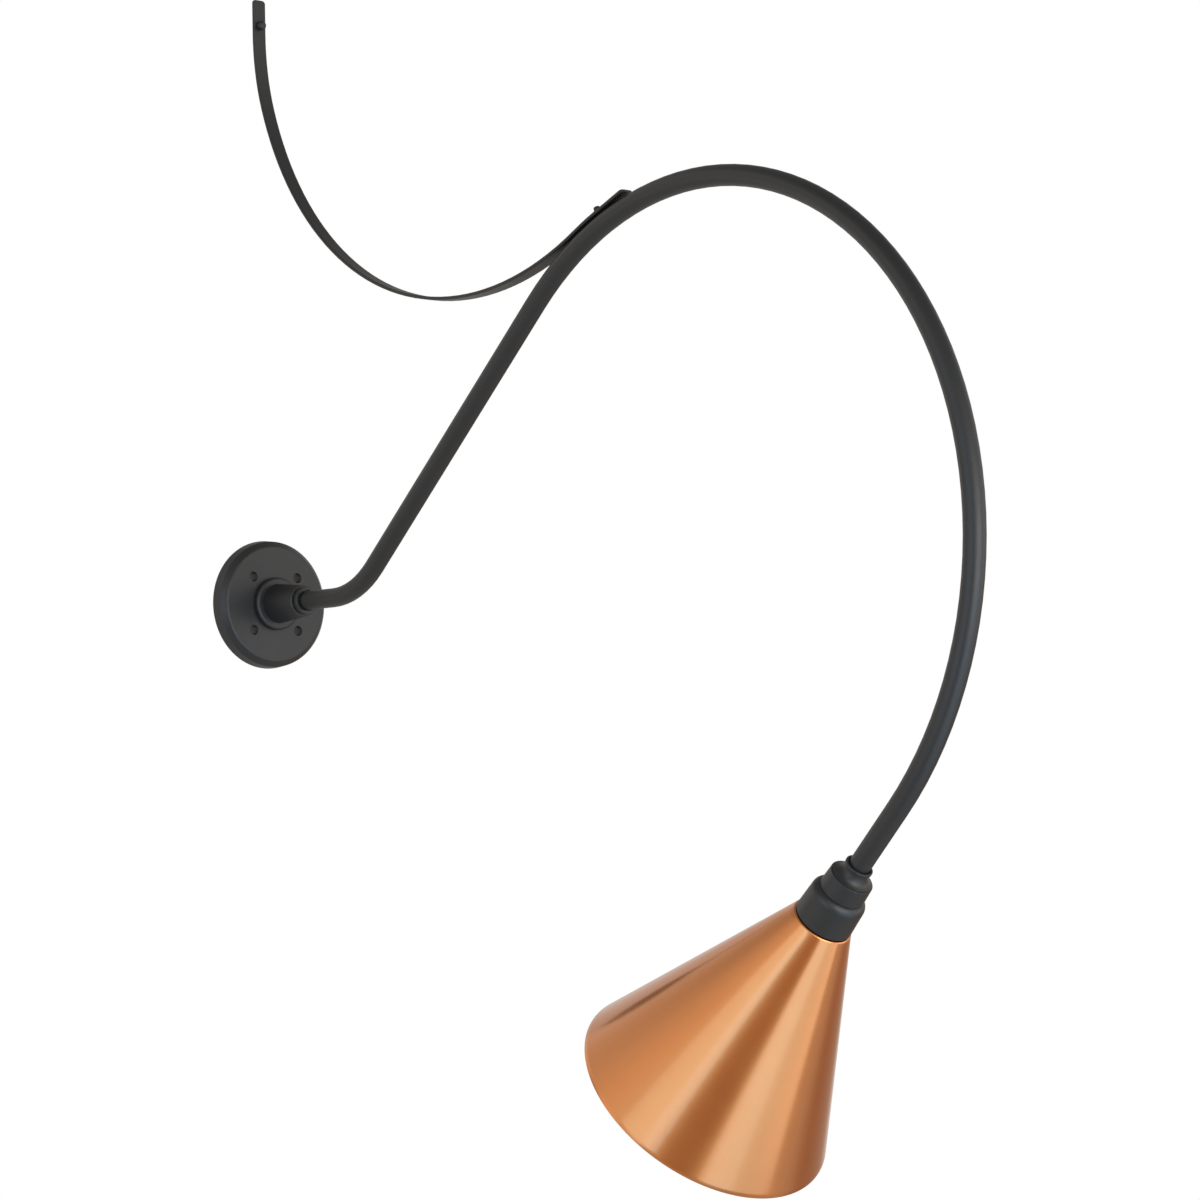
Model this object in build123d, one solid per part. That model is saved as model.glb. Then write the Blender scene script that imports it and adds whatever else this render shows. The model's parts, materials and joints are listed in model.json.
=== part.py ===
from build123d import *
import os
from math import atan2, cos, degrees, radians, sin, sqrt

# Gooseneck barn light: round wall plate, bent pipe arm, flat brace, stepped neck and copper cone shade.
# Millimetres. The origin is on the wall at the hub's axis, +X points out of the wall and +Z points up.

# Arm: horizontal run, bend up, straight rise, one large hook over the top and back towards the wall
PIPE_OD = 21.3
PIPE_WALL = 2.77
ARM_RUN = 131.0
RISE_RADIUS = 116.0
RISE_ANGLE = 41.4
RISE_LENGTH = 381.5
HOOK_RADIUS = 363.0
HOOK_ANGLE = 175.85
NECK_REACH = 71.0

# Wall plate: hollow casting with a drafted rim, a sloped edge and a flat face
PLATE_D = 146.4
PLATE_DRAFT = 1.5
PLATE_RIM_H = 13.0
PLATE_SLOPE = 6.0
PLATE_FACE_T = 7.0
PLATE_RIM_W = 11.0
PLATE_BACK_EDGE_R = 0.8
PLATE_FRONT_EDGE_R = 0.5
PLATE_FACE_EDGE_R = 3.0
PLATE_CAVITY_R = 2.0
HOLE_SPACING = 60.5
HOLE_D = 11.4
BOSS_WALL = 4.0
GASKET_W = 5.0
GASKET_T = 2.5

# Ground screw, inside the plate
GROUND_RIM_GAP = 11.8
GROUND_BOSS_R = 6.0
GROUND_SCREW_R = 2.0
GROUND_WASHER_R = 4.4
GROUND_WASHER_T = 0.8
GROUND_HEAD_FLATS = 6.4
GROUND_HEAD_H = 2.2

# Hub: wall thicknesses are measured from the pipe
HUB_SHANK_WALL = 5.8
HUB_SHANK_LENGTH = 6.0
HUB_STOP = 6.0
HUB_BASE_WALL = 11.8
HUB_END_WALL = 7.0
HUB_LENGTH = 47.6
HUB_EDGE_R = 1.6
BEAD_W = 7.5
BEAD_H = 7.2
BEAD_R = 3.2
HUB_RING_WALL = 4.8
HUB_RING_W = 5.5
HUB_RING_EDGE_R = 1.0
HUB_GROOVE_W = 1.6
HUB_GROOVE_DEPTH = 1.3
LOCKNUT_T = 5.0
LOCKNUT_WALL = 6.0
BUSHING_GAP = 0.93
BUSHING_LIP = 1.6
BUSHING_EDGE_R = 0.6

# Dark recess round the pipe where it enters the hub and the neck
RECESS_W = 1.2
RECESS_DEPTH = 2.5

# Set screws
SET_SCREW_R = 2.5
SET_SCREW_KEY = 2.5
SET_SCREW_KEY_DEPTH = 2.5
SET_SCREW_SINK = 0.8
HUB_SCREW_PLACE = 0.62
NECK_SCREW_PLACE = 4.5

# Brace: flat foot on the wall, kick away from it, long bend, saddle on the pipe and a straight end
STRAP_W = 16.9
STRAP_T = 3.6
STRAP_RADIUS = 395.4
STRAP_KICK = 19.0
STRAP_KICK_RADIUS = 280.0
STRAP_FOOT = 39.0
STRAP_SADDLE = 5.0
STRAP_TAIL = 47.6
STRAP_CORNER_R = 4.0
STRAP_EDGE_R = 1.4
CAP_NUT_DROP = 30.3
CAP_NUT_R = 5.1
CAP_NUT_H = 8.0
CAP_NUT_EDGE_R = 3.6
CAP_NUT_SLEEVE_R = 3.4
STUD_HOLE_R = 2.1
STUD_HOLE_DEPTH = 8.5
BRACE_BOLT_R = 2.4
BRACE_BOLT_HEAD_R = 3.6
BRACE_BOLT_HEAD_H = 7.0
BRACE_BOLT_EDGE_R = 1.2
BRACE_BOLT_REACH = 2.0

# Neck, measured along its axis from the lip of the coupling
LIP_WALL = 3.2
LIP_H = 3.6
LIP_EDGE_R = 0.9
WAIST_WALL = 1.85
COVE_FLARE_H = 3.0
COVE_R = 9.5
COVE_FOOT_H = 0.6
SPIGOT_WALL = 5.9
COLLAR_WALL = 5.1
COLLAR_TOP = 15.0
COLLAR_LAND = 1.2
COLLAR_DRAFT = 0.9
COLLAR_H = 18.9
COLLAR_EDGE_R = 0.6
PIPE_ENGAGE = 24.0
CUP_H = 35.6
CUP_DRAFT = 1.6
CUP_SHOULDER_R = 8.5
CUP_WALL = 2.4
CUP_RIM_WALL = 4.4
CUP_THREAD_H = 10.0
CUP_LIP_R = 0.4
NIPPLE_R = 8.2
NIPPLE_WALL = 1.8
NIPPLE_LENGTH = 17.5
NIPPLE_SETBACK = 1.5
NIPPLE_NUT_T = 4.0
NIPPLE_NUT_WALL = 2.3

# Shade: spun cone with a turned-in top, clamped under the cup by a threaded ring
SHADE_MOUTH_D = 261.0
SHADE_H = 237.0
SHADE_WALL = 1.2
SHADE_OVERHANG = 0.8
SHADE_BEND_R = 2.2
SHADE_HOLE_CLEAR = 0.3
SHADE_GASKET_T = 1.3
SHADE_GASKET_INSET = 1.9
RING_GAP = 2.2
RING_WALL = 2.9
RING_H = 9.0
RING_FLANGE_INSET = 2.4
RING_FLANGE_T = 2.5

# Lamp holder: porcelain body on a bent bracket, brass shell and centre contact
BRACKET_T = 1.4
BRACKET_EDGE = 2.8
BRACKET_LEG_W = 14.0
BRACKET_LEG = 11.0
BRACKET_NUT_GAP = 1.5
BRACKET_FOOT = 6.2
HOLDER_WALL = 5.2
HOLDER_FLANGE = 2.2
HOLDER_FLANGE_H = 5.5
HOLDER_H = 38.0
HOLDER_FLOOR_T = 7.6
HOLDER_EDGE_R = 1.5
HOLDER_SCREW_R = 1.6
HOLDER_SCREW_HEAD_R = 2.8
HOLDER_SCREW_HEAD_H = 1.8
HOLDER_SCREW_DEPTH = 5.0
SHELL_WALL = 0.6
SHELL_CLEAR = 0.3
SHELL_H = 27.0
SHELL_EYE_R = 9.0
CONTACT_W = 6.0
CONTACT_T = 0.6
CONTACT_LENGTH = 13.0
CONTACT_RISE = 3.6
CONTACT_TONGUE = 9.0

# Bulb with a 26 mm screw base
BASE_R = 13.1
BASE_H = 21.5
BASE_FIT = 0.08
BASE_EDGE_R = 0.6
TIP_R = 4.8
TIP_H = 1.5
TIP_EDGE_R = 0.9
TIP_GAP = 0.4
INSULATOR_H = 3.9
INSULATOR_TOP_R = 5.4
INSULATOR_STEP = 2.1
BULB_R = 30.0
BULB_HEIGHT = 107.4
STEM_STEP = 1.4
HOUSING_RIM_INSET = 2.5
HOUSING_BLEND_R = 14.0
GLOBE_WALL = 1.6

# Leads: two insulated wires side by side along the arm's centreline
LEAD_R = 1.3
LEAD_SPREAD = 3.2
LEAD_END = 9.0
LEAD_BARE = 8.0
LEAD_CORE_R = 0.5
LEAD_DEPTH = 4.0

# Clearances: round pieces that fit together, and the strap on the pipe
FIT = 0.05
SEAT = 0.1

# Sizes that follow from the ones above
PIPE_R = PIPE_OD / 2
PIPE_BORE_R = PIPE_R - PIPE_WALL
SLEEVE_R = PIPE_R + FIT
PLATE_R = PLATE_D / 2
PLATE_T = PLATE_RIM_H + PLATE_SLOPE
PLATE_CAVITY = PLATE_T - PLATE_FACE_T
GROUND_PLACE = PLATE_R - PLATE_RIM_W - GROUND_RIM_GAP - GROUND_WASHER_R
HUB_SHANK_R = PIPE_R + HUB_SHANK_WALL
HUB_BASE_R = PIPE_R + HUB_BASE_WALL
HUB_END_R = PIPE_R + HUB_END_WALL
HUB_BACK = PLATE_CAVITY - HUB_SHANK_LENGTH
HUB_BODY = PLATE_T + BEAD_H
HUB_BODY_END = HUB_BODY + HUB_LENGTH
HUB_END = HUB_BODY_END + HUB_GROOVE_W + HUB_RING_W
PIPE_START = HUB_BACK + HUB_STOP
SPIGOT_R = PIPE_R + SPIGOT_WALL
COLLAR_TOP_R = SPIGOT_R + COLLAR_WALL
CUP_TOP = COLLAR_TOP + COLLAR_H
CUP_CEILING = CUP_TOP + CUP_WALL
CUP_BOTTOM = CUP_TOP + CUP_H
SHADE_TOP = CUP_BOTTOM + SHADE_GASKET_T
SHADE_BOTTOM = SHADE_TOP + SHADE_H
SHELL_BORE_R = BASE_R + BASE_FIT
SHELL_R = SHELL_BORE_R + SHELL_WALL
HOLDER_BORE_R = SHELL_R + SHELL_CLEAR
HOLDER_R = HOLDER_BORE_R + HOLDER_WALL
RING_BORE_R = HOLDER_R + RING_GAP
RING_R = RING_BORE_R + RING_WALL
CUP_THREAD_R = RING_R + FIT
CUP_R = CUP_THREAD_R + CUP_RIM_WALL
SHADE_TOP_R = CUP_R + SHADE_OVERHANG
SHADE_MOUTH_R = SHADE_MOUTH_D / 2
NIPPLE_NUT_FLATS = 2 * (NIPPLE_R + NIPPLE_NUT_WALL)
BRACKET_SPAN = NIPPLE_NUT_FLATS / 2 + BRACKET_NUT_GAP
BRACKET_BOTTOM = CUP_CEILING + BRACKET_T
HOLDER_TOP = BRACKET_BOTTOM + BRACKET_LEG
HOLDER_SCREW_PLACE = BRACKET_SPAN + BRACKET_T + BRACKET_FOOT / 2
HOLDER_FLOOR = HOLDER_TOP + HOLDER_FLOOR_T
HOLDER_BOTTOM = HOLDER_TOP + HOLDER_H
BULB_TIP = HOLDER_FLOOR + CONTACT_T + CONTACT_RISE + TIP_GAP
INSULATOR_TOP = BULB_TIP + TIP_H + FIT
BASE_TOP = INSULATOR_TOP + INSULATOR_H
BASE_BOTTOM = BASE_TOP + BASE_H
GLOBE_CENTRE = BULB_TIP + BULB_HEIGHT - BULB_R
HOUSING_RIM_R = BULB_R - HOUSING_RIM_INSET
HOUSING_RIM = GLOBE_CENTRE - sqrt(BULB_R**2 - HOUSING_RIM_R**2)
DOWN = -90


class Route:
    """A path in the XZ plane, laid out as straight runs joined by tangent bends."""

    def __init__(self, x, z, heading):
        self.place = Vector(x, 0, z)
        self.heading = heading
        self.edges = []

    def direction(self, turn=0):
        angle = radians(self.heading + turn)
        return Vector(cos(angle), 0, sin(angle))

    def run(self, length):
        end = self.place + self.direction() * length
        self.edges.append(Line(self.place, end))
        self.place = end
        return self

    def bend(self, radius, angle):
        """Turn left by an angle in degrees, or right where the angle is negative."""
        quarter = 90 if angle > 0 else -90
        centre = self.place + self.direction(quarter) * radius
        middle = centre + self.direction(angle / 2 - quarter) * radius
        end = centre + self.direction(angle - quarter) * radius
        self.edges.append(ThreePointArc(self.place, middle, end))
        self.place = end
        self.heading += angle
        return self

    def swept(self, section):
        """Sweep a section whose own X lies along the light's Y."""
        path = Wire(self.edges)
        return sweep(Plane(origin=path @ 0, x_dir=(0, 1, 0), z_dir=path % 0) * section, path=path)


def arm_route(start, tail):
    """The arm's centreline, from a start inside the hub to a straight tail past the hook."""
    route = Route(start, 0, 0).run(ARM_RUN - start).bend(RISE_RADIUS, RISE_ANGLE)
    return route.run(RISE_LENGTH).bend(HOOK_RADIUS, -HOOK_ANGLE).run(tail)


HOOK_START = Route(ARM_RUN, 0, 0).bend(RISE_RADIUS, RISE_ANGLE).run(RISE_LENGTH)
HOOK_CENTRE = HOOK_START.place + HOOK_START.direction(-90) * HOOK_RADIUS
NECK_START = arm_route(PIPE_START, NECK_REACH)

# Local frames: out of the wall through the hub, and down the neck, each with its X along the light's Y
HUB_FRAME = Plane(origin=(0, 0, 0), x_dir=(0, 1, 0), z_dir=(1, 0, 0))
NECK_FRAME = Plane(origin=NECK_START.place, x_dir=(0, 1, 0), z_dir=NECK_START.direction())

# The strap's long bend touches the hook from outside, which fixes where its centre is
STRAP_LIFT_R = HOOK_RADIUS + PIPE_R + SEAT + STRAP_T / 2
STRAP_KICK_OUT = STRAP_KICK_RADIUS * (1 - cos(radians(STRAP_KICK)))
STRAP_CENTRE_X = STRAP_T / 2 + STRAP_KICK_OUT + STRAP_RADIUS * cos(radians(STRAP_KICK))
STRAP_RISE = sqrt((STRAP_RADIUS + STRAP_LIFT_R) ** 2 - (HOOK_CENTRE.X - STRAP_CENTRE_X) ** 2)
STRAP_MEET = degrees(atan2(HOOK_CENTRE.X - STRAP_CENTRE_X, STRAP_RISE))
STRAP_KICK_DROP = (STRAP_RADIUS - STRAP_KICK_RADIUS) * sin(radians(STRAP_KICK))
STRAP_TOP = HOOK_CENTRE.Z + STRAP_RISE - STRAP_KICK_DROP + STRAP_FOOT
CAP_NUT_FRAME = Plane(origin=(0, 0, STRAP_TOP - CAP_NUT_DROP), x_dir=(0, 1, 0), z_dir=(1, 0, 0))
BOLT_SLANT = radians(STRAP_MEET - STRAP_SADDLE)
BOLT_FRAME = Plane(origin=HOOK_CENTRE, x_dir=(0, 1, 0), z_dir=(-sin(BOLT_SLANT), 0, cos(BOLT_SLANT)))


def outline(*corners):
    """Face in the XZ plane, from corners of (x, z) or (x, z, corner radius)."""
    points = [(corner[0], 0, corner[1]) for corner in corners]
    radii = [corner[2] if len(corner) > 2 else 0 for corner in corners]
    return make_face(FilletPolyline(*points, radius=radii, close=True))


def turned(*corners):
    """Solid of revolution about Z, from corners of (radius, height) or (radius, height, corner radius)."""
    return revolve(outline(*corners), Axis.Z)


def rod(radius, start, end):
    """Cylinder on the Z axis between two heights."""
    return Pos(0, 0, (start + end) / 2) * Cylinder(radius, end - start)


def tube(inner, outer, start, end):
    return turned((inner, start), (outer, start), (outer, end), (inner, end))


def block(x_range, y_width, z_range):
    """Box centred on Y, between two values along X and two along Z."""
    middle = Pos(sum(x_range) / 2, 0, sum(z_range) / 2)
    return middle * Box(x_range[1] - x_range[0], y_width, z_range[1] - z_range[0])


def hexagon(flats, start, end):
    """Hexagonal prism on the Z axis, with two of its flats square to X."""
    section = RegularPolygon(flats / 2, 6, major_radius=False, rotation=30)
    return Pos(0, 0, start) * extrude(section, end - start)


def sideways(height, angle):
    """Frame at a height on the Z axis, whose own Z points out at an angle from X."""
    return Pos(0, 0, height) * Rot(0, 0, angle) * Rot(0, 90, 0)


def set_screw(start, end):
    """Headless screw on the Z axis, with a hexagonal key socket in its outer end."""
    return rod(SET_SCREW_R, start, end) - hexagon(SET_SCREW_KEY, end - SET_SCREW_KEY_DEPTH, end)


def gasket_ring(clearance):
    middle = PLATE_R - PLATE_RIM_W / 2
    return tube(middle - GASKET_W / 2 + clearance, middle + GASKET_W / 2 - clearance, 0, GASKET_T)


def wall_plate():
    edge_r = PLATE_R - PLATE_DRAFT
    cavity_r = PLATE_R - PLATE_RIM_W
    inside_face = PLATE_T - PLATE_FACE_T / 2
    plate = turned(
        (HUB_SHANK_R + FIT, PLATE_CAVITY), (cavity_r, PLATE_CAVITY, PLATE_CAVITY_R), (cavity_r, 0),
        (PLATE_R, 0, PLATE_BACK_EDGE_R), (edge_r, PLATE_RIM_H, PLATE_FRONT_EDGE_R),
        (edge_r - PLATE_SLOPE, PLATE_T, PLATE_FACE_EDGE_R), (HUB_SHANK_R + FIT, PLATE_T),
    )
    fixing = GridLocations(HOLE_SPACING, HOLE_SPACING, 2, 2)
    ground = Pos(0, -GROUND_PLACE, 0)
    plate += fixing * rod(HOLE_D / 2 + BOSS_WALL, 0, inside_face)
    plate += ground * rod(GROUND_BOSS_R, PLATE_CAVITY / 2, inside_face)
    plate -= fixing * rod(HOLE_D / 2, 0, PLATE_T)
    plate -= ground * rod(GROUND_SCREW_R + FIT, 0, PLATE_CAVITY)
    return plate - gasket_ring(0)


def ground_screw():
    seat = PLATE_CAVITY / 2
    washer = seat - GROUND_WASHER_T
    screw = rod(GROUND_SCREW_R, washer, PLATE_CAVITY) + rod(GROUND_WASHER_R, washer, seat)
    return Pos(0, -GROUND_PLACE, 0) * (screw + hexagon(GROUND_HEAD_FLATS, washer - GROUND_HEAD_H, washer))


def hub():
    ring_r = PIPE_R + HUB_RING_WALL
    groove_r = ring_r - HUB_GROOVE_DEPTH
    groove_end = HUB_BODY_END + HUB_GROOVE_W
    body = turned(
        (PIPE_BORE_R, HUB_BACK), (HUB_SHANK_R, HUB_BACK), (HUB_SHANK_R, PLATE_T),
        (HUB_BASE_R + BEAD_W, PLATE_T), (HUB_BASE_R + BEAD_W, HUB_BODY, BEAD_R), (HUB_BASE_R, HUB_BODY),
        (HUB_END_R, HUB_BODY_END, HUB_EDGE_R), (groove_r, HUB_BODY_END), (groove_r, groove_end),
        (ring_r, groove_end, HUB_RING_EDGE_R), (ring_r, HUB_END, HUB_RING_EDGE_R),
        (SLEEVE_R + RECESS_W, HUB_END), (SLEEVE_R + RECESS_W, HUB_END - RECESS_DEPTH),
        (SLEEVE_R, HUB_END - RECESS_DEPTH), (SLEEVE_R, PIPE_START), (PIPE_BORE_R, PIPE_START),
    )
    return body - hub_screw_frame() * rod(SET_SCREW_R + FIT, 0, HUB_BASE_R)


def hub_screw_frame():
    return sideways(HUB_BODY + HUB_SCREW_PLACE * HUB_LENGTH, DOWN)


def hub_set_screw():
    surface = HUB_BASE_R + HUB_SCREW_PLACE * (HUB_END_R - HUB_BASE_R)
    return hub_screw_frame() * set_screw(SLEEVE_R, surface - SET_SCREW_SINK)


def hub_locknut():
    nut = hexagon(2 * (HUB_SHANK_R + LOCKNUT_WALL), PLATE_CAVITY - LOCKNUT_T, PLATE_CAVITY)
    return nut - rod(HUB_SHANK_R + FIT, 0, PLATE_CAVITY)


def lead_bushing():
    inner = LEAD_SPREAD + LEAD_R + BUSHING_GAP
    outer = PIPE_BORE_R - FIT
    lip_r = outer + BUSHING_LIP
    lip = HUB_BACK - BUSHING_LIP
    return turned(
        (inner, lip), (lip_r, lip, BUSHING_EDGE_R), (lip_r, HUB_BACK), (outer, HUB_BACK),
        (outer, PIPE_START), (inner, PIPE_START),
    )


def arm_pipe():
    pipe = arm_route(PIPE_START, NECK_REACH + PIPE_ENGAGE).swept(Circle(PIPE_R) - Circle(PIPE_BORE_R))
    return pipe - BOLT_FRAME * rod(BRACE_BOLT_R + FIT, HOOK_RADIUS, STRAP_LIFT_R)


def brace_strap():
    route = Route(STRAP_T / 2, STRAP_TOP, DOWN).run(STRAP_FOOT).bend(STRAP_KICK_RADIUS, STRAP_KICK)
    route.bend(STRAP_RADIUS, STRAP_MEET - route.heading).bend(STRAP_LIFT_R, -STRAP_SADDLE).run(STRAP_TAIL)
    strap = route.swept(Rectangle(STRAP_W, STRAP_T))
    ends = [strap.faces().sort_by_distance(place)[0] for place in ((STRAP_T / 2, 0, STRAP_TOP), route.place)]
    corners = [edge for end in ends for edge in end.edges().sort_by(SortBy.LENGTH)[:2]]
    strap = fillet(corners, STRAP_CORNER_R)
    edges = strap.edges()
    seams = edges.filter_by(Axis.Y).filter_by(lambda edge: edge.length > STRAP_W - STRAP_CORNER_R)
    uprights = edges.filter_by(lambda edge: abs(edge.length - STRAP_T) < FIT)
    strap = fillet(edges - seams - uprights, STRAP_EDGE_R)
    strap -= CAP_NUT_FRAME * rod(CAP_NUT_SLEEVE_R + FIT, 0, STRAP_T)
    return strap - BOLT_FRAME * rod(BRACE_BOLT_R + FIT, STRAP_LIFT_R - STRAP_T, STRAP_LIFT_R + STRAP_T)


def brace_cap_nut():
    end = STRAP_T + CAP_NUT_H
    return turned(
        (0, STUD_HOLE_DEPTH), (STUD_HOLE_R, STUD_HOLE_DEPTH), (STUD_HOLE_R, 0), (CAP_NUT_SLEEVE_R, 0),
        (CAP_NUT_SLEEVE_R, STRAP_T), (CAP_NUT_R, STRAP_T), (CAP_NUT_R, end, CAP_NUT_EDGE_R), (0, end),
    )


def brace_bolt():
    head = STRAP_LIFT_R + STRAP_T / 2
    tip = HOOK_RADIUS + PIPE_BORE_R - BRACE_BOLT_REACH
    end = head + BRACE_BOLT_HEAD_H
    return turned(
        (0, tip), (BRACE_BOLT_R, tip), (BRACE_BOLT_R, head), (BRACE_BOLT_HEAD_R, head),
        (BRACE_BOLT_HEAD_R, end, BRACE_BOLT_EDGE_R), (0, end),
    )


def pipe_coupling():
    lip_r = PIPE_R + LIP_WALL
    waist_r = PIPE_R + WAIST_WALL
    foot_r = COLLAR_TOP_R - COLLAR_LAND
    foot = COLLAR_TOP - COVE_FOOT_H
    body = turned(
        (SLEEVE_R + RECESS_W, 0), (lip_r, 0, LIP_EDGE_R), (lip_r, LIP_H, LIP_EDGE_R), (waist_r, LIP_H),
        (waist_r, foot - COVE_FLARE_H, COVE_R), (foot_r, foot), (foot_r, COLLAR_TOP), (SPIGOT_R, COLLAR_TOP),
        (SPIGOT_R, CUP_TOP), (NIPPLE_R + FIT, CUP_TOP), (NIPPLE_R + FIT, PIPE_ENGAGE),
        (SLEEVE_R, PIPE_ENGAGE), (SLEEVE_R, RECESS_DEPTH), (SLEEVE_R + RECESS_W, RECESS_DEPTH),
    )
    return body - neck_screw_frame() * rod(SET_SCREW_R + FIT, 0, COLLAR_TOP_R)


def neck_screw_frame():
    return sideways(COLLAR_TOP + NECK_SCREW_PLACE, 0)


def neck_set_screw():
    surface = COLLAR_TOP_R + COLLAR_DRAFT * NECK_SCREW_PLACE / COLLAR_H
    return neck_screw_frame() * set_screw(SLEEVE_R, surface - SET_SCREW_SINK)


def neck_collar():
    inner = SPIGOT_R + FIT
    ring = turned(
        (inner, COLLAR_TOP), (COLLAR_TOP_R, COLLAR_TOP, COLLAR_EDGE_R),
        (COLLAR_TOP_R + COLLAR_DRAFT, CUP_TOP), (inner, CUP_TOP),
    )
    return ring - neck_screw_frame() * rod(SET_SCREW_R + FIT, 0, COLLAR_TOP_R + COLLAR_WALL)


def socket_cup():
    shoulder_r = CUP_R - CUP_DRAFT
    thread = CUP_BOTTOM - CUP_THREAD_H
    inner_r = shoulder_r - CUP_WALL
    return turned(
        (NIPPLE_R + FIT, CUP_TOP), (shoulder_r, CUP_TOP, CUP_SHOULDER_R), (CUP_R, CUP_BOTTOM, CUP_LIP_R),
        (CUP_THREAD_R, CUP_BOTTOM), (CUP_THREAD_R, thread), (inner_r, thread),
        (inner_r, CUP_CEILING, CUP_SHOULDER_R - CUP_WALL), (NIPPLE_R + FIT, CUP_CEILING),
    )


def nipple():
    start = PIPE_ENGAGE + NIPPLE_SETBACK
    return tube(NIPPLE_R - NIPPLE_WALL, NIPPLE_R, start, start + NIPPLE_LENGTH)


def nipple_locknut():
    end = BRACKET_BOTTOM + NIPPLE_NUT_T
    return hexagon(NIPPLE_NUT_FLATS, BRACKET_BOTTOM, end) - rod(NIPPLE_R + FIT, BRACKET_BOTTOM, end)


def holder_bracket():
    outside = BRACKET_SPAN + BRACKET_T
    top_w = 2 * (NIPPLE_R + BRACKET_EDGE)
    bracket = block((-outside, outside), top_w, (CUP_CEILING, BRACKET_BOTTOM))
    bracket -= rod(NIPPLE_R + FIT, CUP_CEILING, BRACKET_BOTTOM)
    leg = block((BRACKET_SPAN, outside), BRACKET_LEG_W, (CUP_CEILING, HOLDER_TOP))
    leg += block((BRACKET_SPAN, outside + BRACKET_FOOT), BRACKET_LEG_W, (HOLDER_TOP - BRACKET_T, HOLDER_TOP))
    leg -= Pos(HOLDER_SCREW_PLACE, 0, 0) * rod(HOLDER_SCREW_R + FIT, CUP_CEILING, HOLDER_TOP)
    return bracket + leg + Rot(0, 0, 180) * leg


def holder_screws():
    seat = HOLDER_TOP - BRACKET_T
    screw = rod(HOLDER_SCREW_HEAD_R, seat - HOLDER_SCREW_HEAD_H, seat)
    screw += rod(HOLDER_SCREW_R, seat, HOLDER_TOP + HOLDER_SCREW_DEPTH)
    return Compound([Pos(side * HOLDER_SCREW_PLACE, 0, 0) * screw for side in (-1, 1)])


def lamp_holder():
    flange_r = HOLDER_R + HOLDER_FLANGE
    flange = HOLDER_TOP + HOLDER_FLANGE_H
    body = turned(
        (0, HOLDER_TOP), (flange_r, HOLDER_TOP, HOLDER_EDGE_R), (flange_r, flange, HOLDER_EDGE_R),
        (HOLDER_R, flange), (HOLDER_R, HOLDER_BOTTOM, HOLDER_EDGE_R),
        (HOLDER_BORE_R, HOLDER_BOTTOM, HOLDER_EDGE_R), (HOLDER_BORE_R, HOLDER_FLOOR), (0, HOLDER_FLOOR),
    )
    for side in (-1, 1):
        screw_hole = rod(HOLDER_SCREW_R + FIT, HOLDER_TOP, HOLDER_TOP + HOLDER_SCREW_DEPTH)
        lead_hole = rod(LEAD_R + FIT, HOLDER_TOP, HOLDER_TOP + LEAD_DEPTH)
        body -= Pos(side * HOLDER_SCREW_PLACE, 0, 0) * screw_hole
        body -= Pos(side * LEAD_SPREAD, 0, 0) * lead_hole
    return body


def screw_shell():
    end = HOLDER_FLOOR + SHELL_H
    ceiling = HOLDER_FLOOR + SHELL_WALL
    return turned(
        (SHELL_EYE_R, HOLDER_FLOOR), (SHELL_R, HOLDER_FLOOR), (SHELL_R, end), (SHELL_BORE_R, end),
        (SHELL_BORE_R, ceiling), (SHELL_EYE_R, ceiling),
    )


def centre_contact():
    """Brass strip folded back on itself, so that a tongue stands over the middle."""
    half = CONTACT_LENGTH / 2
    base = HOLDER_FLOOR
    top = base + CONTACT_T + CONTACT_RISE
    inside = half - CONTACT_T
    fold = outline(
        (-half, base), (half, base, 2 * CONTACT_T), (half, top, 2 * CONTACT_T), (half - CONTACT_TONGUE, top),
        (half - CONTACT_TONGUE, top - CONTACT_T), (inside, top - CONTACT_T, CONTACT_T),
        (inside, base + CONTACT_T, CONTACT_T), (-half, base + CONTACT_T),
    )
    return extrude(fold, CONTACT_W / 2, both=True)


def shade_gasket():
    return tube(RING_R + FIT, CUP_R - SHADE_GASKET_INSET, CUP_BOTTOM, SHADE_TOP)


def shade():
    slope = (SHADE_MOUTH_R - SHADE_TOP_R) / SHADE_H
    across = SHADE_WALL * sqrt(1 + slope**2)
    under = SHADE_TOP + SHADE_WALL
    hole_r = RING_R + SHADE_HOLE_CLEAR
    return turned(
        (hole_r, SHADE_TOP), (SHADE_TOP_R, SHADE_TOP, SHADE_BEND_R), (SHADE_MOUTH_R, SHADE_BOTTOM),
        (SHADE_MOUTH_R - across, SHADE_BOTTOM),
        (SHADE_TOP_R + slope * SHADE_WALL - across, under, SHADE_BEND_R - SHADE_WALL), (hole_r, under),
    )


def shade_ring():
    seat = SHADE_TOP + SHADE_WALL
    flange_r = SHADE_TOP_R - RING_FLANGE_INSET
    return turned(
        (RING_BORE_R, seat + RING_FLANGE_T), (flange_r, seat + RING_FLANGE_T), (flange_r, seat),
        (RING_R, seat), (RING_R, CUP_BOTTOM - RING_H), (RING_BORE_R, CUP_BOTTOM - RING_H),
    )


def lead(side):
    """Insulated wire from the plate's cavity, all along the arm, into the lamp holder."""
    route = arm_route(LEAD_END, NECK_REACH + HOLDER_TOP + LEAD_DEPTH)
    return Pos(0, side * LEAD_SPREAD, 0) * route.swept(Circle(LEAD_R))


def lead_tips():
    tip = rod(LEAD_CORE_R, LEAD_END - LEAD_BARE, LEAD_END)
    return Compound([Pos(side * LEAD_SPREAD, 0, 0) * tip for side in (-1, 1)])


def bulb_contact():
    end = BULB_TIP + TIP_H
    return turned((0, BULB_TIP), (TIP_R, BULB_TIP, TIP_EDGE_R), (TIP_R, end), (0, end))


def bulb_insulator():
    foot_r = BASE_R - INSULATOR_STEP
    return turned((0, INSULATOR_TOP), (INSULATOR_TOP_R, INSULATOR_TOP), (foot_r, BASE_TOP), (0, BASE_TOP))


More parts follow.
